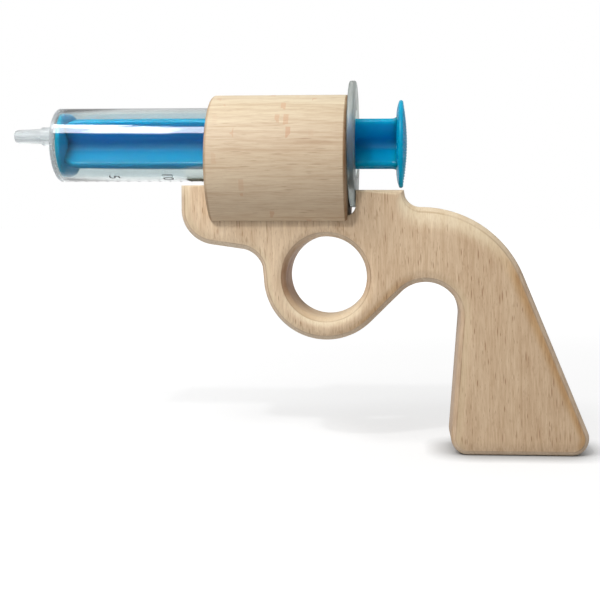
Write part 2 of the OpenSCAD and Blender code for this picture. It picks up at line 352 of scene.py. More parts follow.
def beech_group():
    """Beech with its fibres along Z, in mm: rings about a far pith, broad and fine streaks, and ray flecks.

    The ring phase is the fraction of the distance from the pith over the ring width, and it darkens slowly
    and stops sharply. Flecks are the cores of stretched cells, some long and some short.
    """
    tree = bpy.data.node_groups.new("beech_grain", "ShaderNodeTree")
    socket = tree.interface.new_socket
    for name, kind, value in (
        ("Along", "NodeSocketVector", (0, 0, 0)),
        ("Pith", "NodeSocketVector", (0, 0, 0)),
        ("Ring width", "NodeSocketFloat", 4.0),
        ("Ring wander", "NodeSocketFloat", 4.0),
        ("Ring strength", "NodeSocketFloat", 0.3),
        ("Fleck strength", "NodeSocketFloat", 1.0),
        ("Ray strength", "NodeSocketFloat", 0.3),
        ("Light wood", "NodeSocketColor", (1, 1, 1, 1)),
        ("Late wood", "NodeSocketColor", (1, 1, 1, 1)),
        ("Fleck colour", "NodeSocketColor", (1, 1, 1, 1)),
        ("Ray colour", "NodeSocketColor", (1, 1, 1, 1)),
    ):
        made = socket(name, in_out="INPUT", socket_type=kind)
        made.default_value = value
    for name, kind in (("Colour", "NodeSocketColor"), ("Height", "NodeSocketFloat")):
        socket(name, in_out="OUTPUT", socket_type=kind)
    given = tree.nodes.new("NodeGroupInput").outputs
    result = tree.nodes.new("NodeGroupOutput").inputs

    def stretched(scale):
        return add_node(tree, "VectorMath", {0: given["Along"], 1: scale}, operation="MULTIPLY").outputs[0]

    def streaks(scale, detail):
        return add_node(
            tree, "TexNoise", {"Vector": stretched(scale), "Scale": 1.0, "Detail": detail, "Roughness": 0.6}
        ).outputs["Fac"]

    # Each stretch is in cells per mm, across the fibres twice and then along them.
    broad = streaks((0.11, 0.11, 0.012), 2.0)
    medium = streaks((0.6, 0.6, 0.05), 3.0)
    fine = streaks((2.3, 2.3, 0.17), 4.0)

    from_pith = add_node(tree, "VectorMath", {0: given["Along"], 1: given["Pith"]}, operation="SUBTRACT").outputs[0]
    flat = add_node(tree, "VectorMath", {0: from_pith, 1: (1, 1, 0)}, operation="MULTIPLY").outputs[0]
    distance = add_node(tree, "VectorMath", {0: flat}, operation="LENGTH").outputs["Value"]
    uneven = streaks((0.21, 0.21, 0.006), 2.0)
    wander = sums(tree, "MULTIPLY_ADD", broad, given["Ring wander"], distance)
    wander = sums(tree, "MULTIPLY_ADD", uneven, sums(tree, "MULTIPLY", given["Ring width"], 2.6), wander)
    rings = sums(tree, "DIVIDE", wander, given["Ring width"])
    phase = sums(tree, "FRACT", rings)
    late = sums(tree, "MULTIPLY", sums(tree, "POWER", phase, 7.0), ramp(tree, phase, 1.0, 0.96))
    late = sums(tree, "MULTIPLY", late, ramp(tree, streaks((0.4, 0.4, 0.02), 2.0), 0.35, 0.65, 0.25, 1.0))
    ring_tone = sums(tree, "MULTIPLY", late, given["Ring strength"])

    def flecks(scale, small, large):
        cells = add_node(tree, "TexVoronoi", {"Vector": stretched(scale), "Scale": 1.0, "Randomness": 1.0})
        picks = add_node(tree, "SeparateColor", {0: cells.outputs["Color"]}).outputs
        size = ramp(tree, picks[0], 0.05, 0.95, small, large)
        inside = sums(tree, "DIVIDE", cells.outputs["Distance"], size)
        depth = ramp(tree, picks[1], 0.0, 1.0, 0.3, 1.0)
        return sums(tree, "MULTIPLY", ramp(tree, inside, 1.0, 0.3), depth)

    long_flecks = flecks((1.4, 0.16, 0.14), 0.06, 0.33)
    short_flecks = flecks((2.1, 0.3, 0.24), 0.08, 0.34)
    pores = flecks((3.1, 1.6, 0.6), 0.1, 0.42)
    fleck = sums(tree, "MAXIMUM", long_flecks, sums(tree, "MULTIPLY", short_flecks, 0.75))
    fleck = sums(tree, "MAXIMUM", fleck, sums(tree, "MULTIPLY", pores, 0.3))
    fleck = sums(tree, "MULTIPLY", fleck, given["Fleck strength"], clamp=True)

    # Where a ray lies in the surface it shows as a short bar across the fibres, in few cells only.
    bars = add_node(tree, "TexVoronoi", {"Vector": stretched((0.27, 0.27, 0.6)), "Scale": 1.0}, distance="CHEBYCHEV")
    bar_picks = add_node(tree, "SeparateColor", {0: bars.outputs["Color"]}).outputs
    bar = sums(tree, "MULTIPLY", ramp(tree, bars.outputs["Distance"], 0.5, 0.36), ramp(tree, bar_picks[0], 0.94, 1.0))
    bar = sums(tree, "MULTIPLY", bar, given["Ray strength"])

    tone = sums(tree, "MULTIPLY_ADD", ramp(tree, medium, 0.3, 0.75), 0.3, ring_tone)
    tone = sums(tree, "MULTIPLY_ADD", ramp(tree, broad, 0.3, 0.7), 0.2, tone)
    tone = sums(tree, "MULTIPLY_ADD", ramp(tree, fine, 0.32, 0.72), 0.46, tone, clamp=True)
    wood = mix_colour(tree, tone, given["Light wood"], given["Late wood"])
    wood = mix_colour(tree, bar, wood, given["Ray colour"])
    colour = mix_colour(tree, fleck, wood, given["Fleck colour"])
    fibre = sums(tree, "MULTIPLY_ADD", fine, 0.5, sums(tree, "MULTIPLY", fleck, -0.6))
    tree.links.new(colour, result["Colour"])
    tree.links.new(fibre, result["Height"])
    return tree


beech_grain = beech_group()


def srgb(red, green, blue):
    """A colour given as 0 to 255 per channel, as linear light with an alpha of 1."""
    value = np.array([red, green, blue]) / 255
    linear = np.where(value <= 0.04045, value / 12.92, ((value + 0.055) / 1.055) ** 2.4)
    return (*linear.tolist(), 1.0)


def new_material(name):
    """A node material with only its output, and that output."""
    material = bpy.data.materials.new(name)
    material.use_nodes = True
    material.node_tree.nodes.clear()
    return material, material.node_tree, add_node(material.node_tree, "OutputMaterial")


def beech_material(name, turn, pith, rings, flecks, colours, edge_tint, edge_range, crease_colour):
    """Bare sanded beech, with its fibres turned to lie along the piece and its worked edges toned by its marks.

    The rings have a width, a wander and a strength, and the flecks a strength for long ones and for flat rays.
    The colours are those of the light wood, the late wood, the flecks and the rays.
    """
    material, tree, output = new_material(name)
    place = add_node(tree, "TexCoord").outputs["Object"]
    along = add_node(tree, "Mapping", {"Vector": place, "Rotation": turn, "Scale": (1000, 1000, 1000)}).outputs[0]
    grain = add_node(tree, "Group", node_tree=beech_grain)
    tree.links.new(along, grain.inputs["Along"])
    grain.inputs["Pith"].default_value = pith
    for socket_name, value in zip(("Ring width", "Ring wander"), rings):
        grain.inputs[socket_name].default_value = value
    edge = add_node(tree, "Attribute", attribute_name="edge").outputs["Fac"]
    crease = add_node(tree, "Attribute", attribute_name="crease").outputs["Fac"]
    # On the worked edges the flecks are cut across and hardly show, and rings and flat rays show instead.
    for socket_name, on_face, on_edge in (
        ("Fleck strength", flecks[0], 0.12 * flecks[0]),
        ("Ray strength", flecks[1], 0.6),
        ("Ring strength", rings[2], 0.8),
    ):
        tree.links.new(ramp(tree, edge, 0.0, 1.0, on_face, on_edge), grain.inputs[socket_name])
    for socket_name, colour in zip(("Light wood", "Late wood", "Fleck colour", "Ray colour"), colours):
        grain.inputs[socket_name].default_value = colour
    patches = add_node(tree, "TexNoise", {"Vector": along, "Scale": 0.16, "Detail": 3.0}).outputs["Fac"]
    edge_tone = sums(tree, "MULTIPLY", edge, ramp(tree, patches, 0.25, 0.7, *edge_range))
    colour = mix_colour(tree, edge_tone, grain.outputs["Colour"], edge_tint, "MULTIPLY")
    line = sums(tree, "MULTIPLY", crease, ramp(tree, patches, 0.3, 0.65, 0.3, 0.85))
    colour = mix_colour(tree, line, colour, crease_colour)
    roughness = ramp(tree, grain.outputs["Height"], -0.4, 0.5, 0.66, 0.5)
    bump = add_node(
        tree, "Bump", {"Height": grain.outputs["Height"], "Strength": 0.35, "Distance": 0.00012}
    ).outputs[0]
    shader = add_node(
        tree,
        "BsdfPrincipled",
        {"Base Color": colour, "Roughness": roughness, "Normal": bump, "Specular IOR Level": 0.3},
    )
    tree.links.new(shader.outputs[0], output.inputs["Surface"])
    return material, tree, shader


board_wood, board_tree, board_shader = beech_material(
    "board_beech",
    turn=(0, math.radians(1.5), 0),
    pith=(-190, 180, 0),
    rings=(5.5, 5.0, 0.2),
    flecks=(1.0, 0.12),
    colours=(srgb(240, 217, 186), srgb(200, 168, 134), srgb(150, 98, 62), srgb(206, 170, 138)),
    edge_tint=(0.75, 0.74, 0.8, 1),
    edge_range=(0.25, 0.6),
    crease_colour=srgb(150, 116, 84),
)
# Painted shade: brown patches on the left wall of the finger hole, which is turned away from the lamps.
painted_hole_shade = add_node(board_tree, "Attribute", attribute_name="painted_hole_shade").outputs["Fac"]
hole_place = add_node(board_tree, "TexCoord").outputs["Object"]
hole_noise = add_node(board_tree, "TexNoise", {"Vector": hole_place, "Scale": 130.0, "Detail": 2.0}).outputs["Fac"]
hole_shade_patches = sums(board_tree, "MULTIPLY", painted_hole_shade, ramp(board_tree, hole_noise, 0.35, 0.7, 0.5, 0.9))
plain_wood = board_shader.inputs["Base Color"].links[0].from_socket
toned = mix_colour(board_tree, hole_shade_patches, plain_wood, srgb(150, 102, 68))
# Painted shade and light on the shoulders: honey brown where they turn to the rear, away from the lamps, paler where
# they turn to the front, and palest on top.
painted_rear_shade = add_node(board_tree, "Attribute", attribute_name="painted_rear_shade").outputs["Fac"]
painted_front_light = add_node(board_tree, "Attribute", attribute_name="painted_front_light").outputs["Fac"]
toned = mix_colour(board_tree, sums(board_tree, "MULTIPLY", painted_rear_shade, 0.75), toned, srgb(232, 206, 160), "MULTIPLY")
toned = mix_colour(board_tree, sums(board_tree, "MULTIPLY", painted_front_light, 0.4), toned, srgb(218, 202, 168))
# Painted shade: the wood is darkened towards the grip, which lies farther from the lamps.
along_board_x = add_node(board_tree, "SeparateXYZ", {0: hole_place}).outputs["X"]
painted_grip_shade = ramp(board_tree, along_board_x, -85 * MM, 0.0)
toned = mix_colour(board_tree, painted_grip_shade, toned, (0.87, 0.83, 0.79, 1), "MULTIPLY")
# Painted highlight: edges and shoulders that face up are lightened.
painted_top_light = add_node(board_tree, "Attribute", attribute_name="painted_top_light").outputs["Fac"]
toned = mix_colour(board_tree, painted_top_light, toned, (0.48, 0.37, 0.22, 1), "SCREEN")
# Painted light: rounded edges that face down, or to the rear low on the grip, are lightened as if lit from below and
# behind.
painted_edge_light = add_node(board_tree, "Attribute", attribute_name="painted_edge_light").outputs["Fac"]
toned = mix_colour(board_tree, painted_edge_light, toned, (0.29, 0.24, 0.18, 1), "SCREEN")
board_tree.links.new(toned, board_shader.inputs["Base Color"])
frame_piece.data.materials.append(board_wood)


# Drum
# A short beech cylinder, turned between centres and bored off its axis for the syringe.
# It is slotted underneath to sit over the notch, and glued there; its broken edges are darker brown, most of all at
# the rear end.

drum_low, drum_high = (np.array(corner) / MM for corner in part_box("drum"))
drum_r = (drum_high[1] - drum_low[1]) / 2
drum_z = drum_high[2] - drum_r
drum_bore_r = 11.0
drum_edge, bore_break, slot_gap = 0.9, 0.35, 0.05
drum_columns = 288
slot_half = board_half + slot_gap
slot_top = notch_floor + slot_gap


def ring_stack(stations, axis_z, columns):
    """Circles across X, one for each station of x, rise of its centre above the axis and radius."""
    x, rise, radius = (np.asarray(part, float)[:, None] for part in zip(*stations))
    angle = np.linspace(0, 2 * np.pi, columns, endpoint=False)[None]
    y = radius * np.sin(angle)
    z = axis_z + rise + radius * np.cos(angle)
    return np.stack([np.broadcast_to(x, y.shape), y, z], axis=-1)


def soft_corner(x, radius, toward_x, toward_r, size, rise=0.0, steps=7):
    """Stations round a corner at x and radius: a quarter circle from the face at toward_r to the wall at toward_x."""
    turn = np.linspace(0, np.pi / 2, steps)
    along_r = radius + toward_r * size * (1 - np.sin(turn))
    along_x = x + toward_x * size * (1 - np.cos(turn))
    return [(px, rise, pr) for px, pr in zip(along_x, along_r)]


bore_rise = syringe_z - drum_z
drum_stations = (
    [(drum_low[0] + bore_break, bore_rise, drum_bore_r), (drum_low[0], bore_rise, drum_bore_r + bore_break)]
    + soft_corner(drum_low[0], drum_r, 1, -1, drum_edge)
    + soft_corner(drum_high[0], drum_r, -1, -1, drum_edge)[::-1]
    + [(drum_high[0], bore_rise, drum_bore_r + bore_break), (drum_high[0] - bore_break, bore_rise, drum_bore_r)]
)
drum_points = ring_stack(drum_stations, drum_z, drum_columns)
in_slot = (np.abs(drum_points[..., 1]) < slot_half) & (drum_points[..., 2] < slot_top)
drum_points[..., 2] = np.where(in_slot, slot_top, drum_points[..., 2])
# Marks station by station: how far the edges are darkened, most of all at the rear end, and the fine creases beside
# them.
drum_edges = np.array([0, 0.3] + [0.5, 0.8, 0.8, 0.7, 0.5, 0.3, 0] + [0.1, 0.85, 1, 1, 1, 1, 0.8] + [0.4, 0])
drum_creases = np.array([0, 0] + [0, 0, 0, 0, 0, 0.4, 0] + [0, 0.4, 0, 0, 0, 0, 0] + [0, 0])
drum_faces = grid_quads(len(drum_stations), drum_columns, close_rows=True).tolist()
drum_marks = {"edge": np.repeat(drum_edges, drum_columns), "crease": np.repeat(drum_creases, drum_columns)}
drum_piece = new_piece(
    "turned_drum", drum_points.reshape(-1, 3), drum_faces, "body", "drum", drum_marks, sharp_deg=30
)
drum_wood, drum_tree, drum_shader = beech_material(
    "drum_beech",
    turn=(0, math.radians(-90), 0),
    pith=(97, 62, 0),
    rings=(4.0, 1.2, 0.62),
    flecks=(0.36, 0.6),
    colours=(srgb(235, 222, 193), srgb(207, 183, 152), srgb(156, 116, 88), srgb(212, 168, 134)),
    edge_tint=(0.37, 0.24, 0.14, 1),
    edge_range=(0.6, 0.95),
    crease_colour=srgb(160, 122, 84),
)
# Painted light and shade: the drum's top is left palest and the wood below it darkened, as the light falls from
# above.
drum_place = add_node(drum_tree, "TexCoord").outputs["Object"]
drum_height = add_node(drum_tree, "SeparateXYZ", {0: drum_place}).outputs["Z"]
lit_rise, shade_rise = 18, 5
drum_lower_shade = ramp(drum_tree, drum_height, (drum_z + lit_rise) * MM, (drum_z + shade_rise) * MM)
drum_grain_colour = drum_shader.inputs["Base Color"].links[0].from_socket
drum_colour = mix_colour(drum_tree, drum_lower_shade, drum_grain_colour, (0.88, 0.82, 0.8, 1), "MULTIPLY")
drum_tree.links.new(drum_colour, drum_shader.inputs["Base Color"])
drum_piece.data.materials.append(drum_wood)


# Syringe barrel
# One clear moulding: tube, front wall with an off-centre tapered nozzle, and a full round finger flange.
# It is slipped through the drum from behind, until the flange lies against the drum's back.

barrel_low, barrel_high = (np.array(corner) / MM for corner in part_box("syringe_barrel"))
nozzle_rise, collar_len, tip_len = 2.7, 5.6, 8.2
bore_r, barrel_r, front_wall = 10.0, 10.9, 1.3
flange_r = (barrel_high[1] - barrel_low[1]) / 2
flange_t = 2.0
channel_r, tip_r, tip_root_r, collar_r = 1.0, 2.0, 2.25, 2.75
ridge_h, ridge_back = 0.25, 8.0
collar_round, front_round, flange_round, mouth_round = 0.25, 0.5, 0.55, 0.4
barrel_columns = 128
tip_x = barrel_low[0]
barrel_x = tip_x + tip_len + collar_len
mouth_x = barrel_high[0]
flange_x = mouth_x - flange_t
ridge_x = mouth_x - ridge_back
root_x = barrel_x - collar_len


def nozzle(x, radius):
    """One station on the nozzle's own axis."""
    return (x, nozzle_rise, radius)


barrel_stations = (
    [nozzle(tip_x, channel_r + 0.15), nozzle(tip_x, tip_r - 0.45), nozzle(tip_x + 0.12, tip_r - 0.28)]
    + [nozzle(tip_x + 0.9, tip_r), nozzle(tip_x + 1.0, tip_r + 0.02), nozzle(root_x - 0.2, tip_root_r)]
    + [nozzle(root_x, tip_root_r + 0.12)]
    + [nozzle(px, pr) for px, _, pr in soft_corner(root_x, collar_r, 1, -1, collar_round, steps=5)]
    + [nozzle(barrel_x - 0.5, collar_r), nozzle(barrel_x - 0.2, collar_r + 0.1), nozzle(barrel_x, collar_r + 0.45)]
    + soft_corner(barrel_x, barrel_r, 1, -1, front_round)
    + [(barrel_x + front_wall - 0.1, 0, barrel_r)]
    + [(flange_x - 0.8, 0, barrel_r), (flange_x - 0.35, 0, barrel_r + 0.1)]
    + [(flange_x - 0.1, 0, barrel_r + 0.35), (flange_x, 0, barrel_r + 0.8)]
    + soft_corner(flange_x, flange_r, 1, -1, flange_round)
    + soft_corner(mouth_x, flange_r, -1, -1, flange_round)[::-1]
    + soft_corner(mouth_x, bore_r, -1, 1, mouth_round, steps=5)
    + [(ridge_x + 0.8, 0, bore_r), (ridge_x + 0.35, 0, bore_r - 0.7 * ridge_h), (ridge_x, 0, bore_r - ridge_h)]
    + [(ridge_x - 0.35, 0, bore_r - 0.7 * ridge_h), (ridge_x - 0.8, 0, bore_r)]
    + soft_corner(barrel_x + front_wall, bore_r, 1, -1, mouth_round, steps=5)[::-1]
    + [nozzle(barrel_x + front_wall, channel_r + 0.2), nozzle(barrel_x + front_wall - 0.2, channel_r)]
    + [nozzle(tip_x + 0.15, channel_r)]
)
barrel_points = ring_stack(barrel_stations, syringe_z, barrel_columns).reshape(-1, 3)
barrel_faces = grid_quads(len(barrel_stations), barrel_columns, close_rows=True).tolist()
barrel_piece = new_piece("clear_barrel", barrel_points, barrel_faces, "barrel", "syringe_barrel", sharp_deg=35)


def clear_material(name, tint, roughness, transmission, coat, shadow_tint):
    """Clear moulded plastic: slightly grey-green, with faint flow marks, and letting shadow rays through.

    The roughness goes from its first value to its second along the flow marks.
    """
    material, tree, output = new_material(name)
    place = add_node(tree, "TexCoord").outputs["Object"]
    along = add_node(tree, "Mapping", {"Vector": place, "Scale": (60, 900, 900)}).outputs[0]
    flow = add_node(tree, "TexNoise", {"Vector": along, "Scale": 0.35, "Detail": 3.0}).outputs["Fac"]
    cloud = ramp(tree, add_node(tree, "TexNoise", {"Vector": place, "Scale": 60.0}).outputs["Fac"], 0.3, 0.7)
    colour = mix_colour(tree, cloud, tint, (*(0.97 * part for part in tint[:3]), 1))
    bump = add_node(tree, "Bump", {"Height": flow, "Strength": 0.012, "Distance": 0.0001}).outputs[0]
    shader = add_node(
        tree,
        "BsdfPrincipled",
        {"Base Color": colour, "Roughness": ramp(tree, flow, 0.35, 0.75, *roughness), "Normal": bump},
    )
    shader.inputs["Transmission Weight"].default_value = transmission
    shader.inputs["IOR"].default_value = 1.5
    shader.inputs["Coat Weight"].default_value = coat
    shader.inputs["Coat Roughness"].default_value = 0.05
    shadow = add_node(tree, "BsdfTransparent", {"Color": shadow_tint})
    path = add_node(tree, "LightPath").outputs
    deep = sums(tree, "GREATER_THAN", path["Ray Depth"], 7.0)
    passed = sums(tree, "MAXIMUM", path["Is Shadow Ray"], deep)
    seen = add_node(tree, "MixShader", {0: passed, 1: shader.outputs[0], 2: shadow.outputs[0]})
    tree.links.new(seen.outputs[0], output.inputs["Surface"])
    return material


# The mould is polished along the tube, duller on the flange, and left matt at the nozzle and the front rim.
TUBE, NOZZLE, FLANGE = range(3)
for plastic in (
    clear_material("clear_plastic", (0.79, 0.86, 0.86, 1), (0.05, 0.1), 1.0, 1.0, (0.78, 0.83, 0.83, 1)),
    clear_material("frosted_plastic", (0.74, 0.77, 0.78, 1), (0.26, 0.34), 0.75, 0.0, (0.8, 0.82, 0.82, 1)),
    clear_material("flange_plastic", (0.84, 0.9, 0.86, 1), (0.3, 0.4), 0.9, 0.0, (0.5, 0.53, 0.52, 1)),
):
    barrel_piece.data.materials.append(plastic)
matt_end, flange_start = barrel_x + front_wall - 0.2, flange_x - 0.3
centres = np.empty(len(barrel_piece.data.polygons) * 3)
barrel_piece.data.polygons.foreach_get("center", centres)
centre_x = centres.reshape(-1, 3)[:, 0] / MM
finish_index = np.where(centre_x < matt_end, NOZZLE, np.where(centre_x > flange_start, FLANGE, TUBE))
barrel_piece.data.polygons.foreach_set("material_index", finish_index.astype(np.int32))


# Scale on the barrel
# Plain graduations and numbers, printed in grey ink on the side of the tube that is turned down.
# A millilitre takes up its volume over the bore's area, counted from the piston's face.

ink_lift = 0.03
ml_step = 1000 / (math.pi * bore_r**2)
scale_zero_x = barrel_x + front_wall + 0.2
scale_angle = math.radians(-153)
line_width, long_line, short_line, line_shift = 0.22, 7.0, 4.0, 3.2
line_columns, last_ml, number_size = 9, 24, 4.6


def on_tube(along_x, around):
    """Points on the tube's skin, from a place along X and an arc length round from the scale's middle, in mm."""
    angle = scale_angle + around / barrel_r
    radius = barrel_r + ink_lift
    return np.stack([along_x, radius * np.sin(angle), syringe_z + radius * np.cos(angle)], axis=-1)


def scale_lines():
    """Graduations as strips round the tube: a long one at each fifth millilitre and short ones between."""
    corners, quads = [], []
    spans = np.linspace(-0.5, 0.5, line_columns)
    for ml in range(1, last_ml + 1):
        length = long_line if ml % 5 == 0 else short_line
        around = np.tile(spans * length - length / 2 - line_shift, 2)
        along_x = scale_zero_x + ml * ml_step + np.repeat([-line_width / 2, line_width / 2], line_columns)
        quads.append(grid_quads(2, line_columns, 2 * line_columns * (ml - 1), close_columns=False))
        corners.append(on_tube(along_x, around))
    return np.concatenate(corners), np.concatenate(quads).tolist()


line_points, line_quads = scale_lines()
ink_points, ink_faces = [line_points], list(line_quads)
for ml in (5, 10, 15, 20):
    figures = bpy.data.curves.new("number", "FONT")
    figures.body = str(ml)
    figures.align_x = "CENTER"
    figures.align_y = "CENTER"
    figures.size = number_size
    figures.resolution_u = 3
    holder = bpy.data.objects.new("number", figures)
    bpy.context.collection.objects.link(holder)
    bpy.context.view_layer.update()
    flat_mesh = holder.to_mesh()
    flat_xyz = np.empty(len(flat_mesh.vertices) * 3)
    flat_mesh.vertices.foreach_get("co", flat_xyz)
    flat_xyz = flat_xyz.reshape(-1, 3)
    start = sum(len(part) for part in ink_points)
    ink_faces += [[start + v for v in polygon.vertices] for polygon in flat_mesh.polygons]
    ink_points.append(on_tube(scale_zero_x + ml * ml_step + flat_xyz[:, 1], -flat_xyz[:, 0]))
    holder.to_mesh_clear()
    bpy.data.objects.remove(holder)
    bpy.data.curves.remove(figures)
ink_piece = new_piece("barrel_scale", np.concatenate(ink_points), ink_faces, "barrel", None)
ink, ink_tree, ink_output = new_material("scale_ink")
ink_place = add_node(ink_tree, "TexCoord").outputs["Object"]
ink_noise = add_node(ink_tree, "TexNoise", {"Vector": ink_place, "Scale": 2600.0, "Detail": 2.0}).outputs["Fac"]
ink_tone = mix_colour(ink_tree, ramp(ink_tree, ink_noise, 0.4, 0.7), srgb(84, 86, 88), srgb(128, 131, 134))
ink_shader = add_node(ink_tree, "BsdfPrincipled", {"Base Color": ink_tone, "Roughness": 0.5})
ink_tree.links.new(ink_shader.outputs[0], ink_output.inputs["Surface"])
ink_piece.data.materials.append(ink)


# Plunger
# One blue moulding: a thin piston disc, a rod of four fins set like an X, and a thumb plate with a ridged dome.
# It slides in the barrel, and its fins narrow towards the piston.

plunger_low, plunger_high = (np.array(corner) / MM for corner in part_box("plunger"))
piston_x, piston_t, piston_r = plunger_low[0], 1.3, 9.9
fin_t, fin_r, fin_dip, fin_dip_len = 2.2, 9.4, 1.8, 5.0
fin_root_r, fin_tip_r = 2.4, 1.0
rod_seat, piston_round, piston_flat = 0.2, 0.35, 1.2
thumb_r = (plunger_high[1] - plunger_low[1]) / 2
thumb_sweep, thumb_flat_r, thumb_rim, thumb_dome, rim_round = 0.75, 6.5, 1.3, 1.15, 0.6
thumb_x = plunger_high[0] - thumb_sweep - thumb_rim - thumb_dome
rib_pitch, rib_depth, rib_fade = 0.85, 0.3, 0.05
piston_columns, thumb_columns, dome_rows = 96, 384, 97


def fin_loop(reach):
    """A cross of four fins as one closed loop for each row's reach: fillet, side, rounded tip, side, and so on."""
    half = fin_t / 2
    bend = np.linspace(0, np.pi / 2, 5)
    root_bend = np.linspace(np.pi / 4, 0, 6)
    ones = np.ones((len(reach), 1))
    inner_u = ones * (half + fin_root_r * (1 - np.sin(root_bend)))
    inner_v = ones * -(half + fin_root_r * (1 - np.cos(root_bend)))
    tip_u = reach[:, None] - fin_tip_r * (1 - np.sin(bend))
    tip_v = ones * -(half - fin_tip_r * (1 - np.cos(bend)))
    u = np.concatenate([inner_u, tip_u, tip_u[:, ::-1], inner_u[:, ::-1]], axis=1)
    v = np.concatenate([inner_v, tip_v, -tip_v[:, ::-1], -inner_v[:, ::-1]], axis=1)
    turns = np.radians([45, 135, 225, 315])
    y = np.concatenate([u * np.cos(t) - v * np.sin(t) for t in turns], axis=1)
    z = np.concatenate([u * np.sin(t) + v * np.cos(t) for t in turns], axis=1)
    root = np.tile(np.clip(1 - (u - half) / (reach[:, None] - half), 0, 1), 4)
    return y, z, root


def rod_rows():
    """The rod: the fin loop carried along X, its reach growing from the piston as a quarter of a sine wave."""
    grow = np.linspace(0, 1, 12)
    x = piston_x + piston_t - rod_seat + np.concatenate([[0], rod_seat + fin_dip_len * grow])
    reach = fin_r - fin_dip + fin_dip * np.concatenate([[0], np.sin(grow * np.pi / 2)])
    x = np.concatenate([x, [thumb_x - 1.2, thumb_x - 0.5, thumb_x - 0.1, thumb_x + 0.3]])
    reach = np.concatenate([reach, [fin_r, fin_r + 0.12, fin_r + 0.45, fin_r + 0.6]])
    y, z, root = fin_loop(reach)
    rows = np.stack([np.broadcast_to(x[:, None], y.shape), y, syringe_z + z], axis=-1)
    ends = rows[[0, -1]] * [1, 0, 0] + [0, 0, syringe_z]
    return np.concatenate([ends[:1], rows, ends[1:]]), np.concatenate([root[:1], root, root[-1:]])


piston_stations = (
    [(piston_x, 0, 0), (piston_x, 0, piston_r - piston_flat)]
    + soft_corner(piston_x, piston_r, 1, -1, piston_round, steps=5)
    + soft_corner(piston_x + piston_t, piston_r, -1, -1, piston_round, steps=5)[::-1]
    + [(piston_x + piston_t, 0, piston_r - piston_flat), (piston_x + piston_t, 0, 0)]
)
# The thumb plate's front sweeps back to its rim as a cube of the radius, and its dome is a parabola.
sweep = np.linspace(0, 1, 12)
rim_turn = np.linspace(-np.pi / 2, np.pi / 2, 11)[1:-1]
rim_middle = thumb_x + thumb_sweep + thumb_rim / 2
dome_out = np.linspace(1, 0, dome_rows)
plate_x = [
    thumb_x + thumb_sweep * sweep**3,
    rim_middle + thumb_rim / 2 * np.sin(rim_turn),
    plunger_high[0] - thumb_dome * dome_out**2,
]
plate_r = [
    thumb_flat_r + (thumb_r - rim_round - thumb_flat_r) * sweep,
    thumb_r - rim_round + rim_round * np.cos(rim_turn),
    dome_out * (thumb_r - rim_round),
]
thumb_stations = [(thumb_x, 0, 0)] + [(x, 0, r) for x, r in zip(np.concatenate(plate_x), np.concatenate(plate_r))]
thumb_plate = ring_stack(thumb_stations, syringe_z, thumb_columns)
# Straight ribs across the dome: each point drops by a cosine wave of its height, fading out at the rim.
rib_wave = 0.5 - 0.5 * np.cos(2 * np.pi * (thumb_plate[..., 2] - syringe_z) / rib_pitch)
on_dome = np.concatenate([np.zeros(len(thumb_stations) - dome_rows), np.clip((1 - dome_out) / rib_fade, 0, 1)])
thumb_plate[..., 0] -= rib_depth * rib_wave * on_dome[:, None]
piston_disc = ring_stack(piston_stations, syringe_z, piston_columns)
rod, rod_root = rod_rows()
plunger_points, plunger_faces = [], []
for shell in (piston_disc, rod, thumb_plate):
    start = sum(len(part) for part in plunger_points)
    plunger_faces += grid_quads(shell.shape[0], shell.shape[1], start).tolist()
    plunger_points.append(shell.reshape(-1, 3))
root_mark = np.concatenate([np.zeros(piston_disc.size // 3), rod_root.ravel(), np.zeros(thumb_plate.size // 3)])
plunger_piece = new_piece(
    "blue_plunger",
    np.concatenate(plunger_points),
    plunger_faces,
    "plunger",
    "plunger",
    {"root": root_mark},
    sharp_deg=40,
)


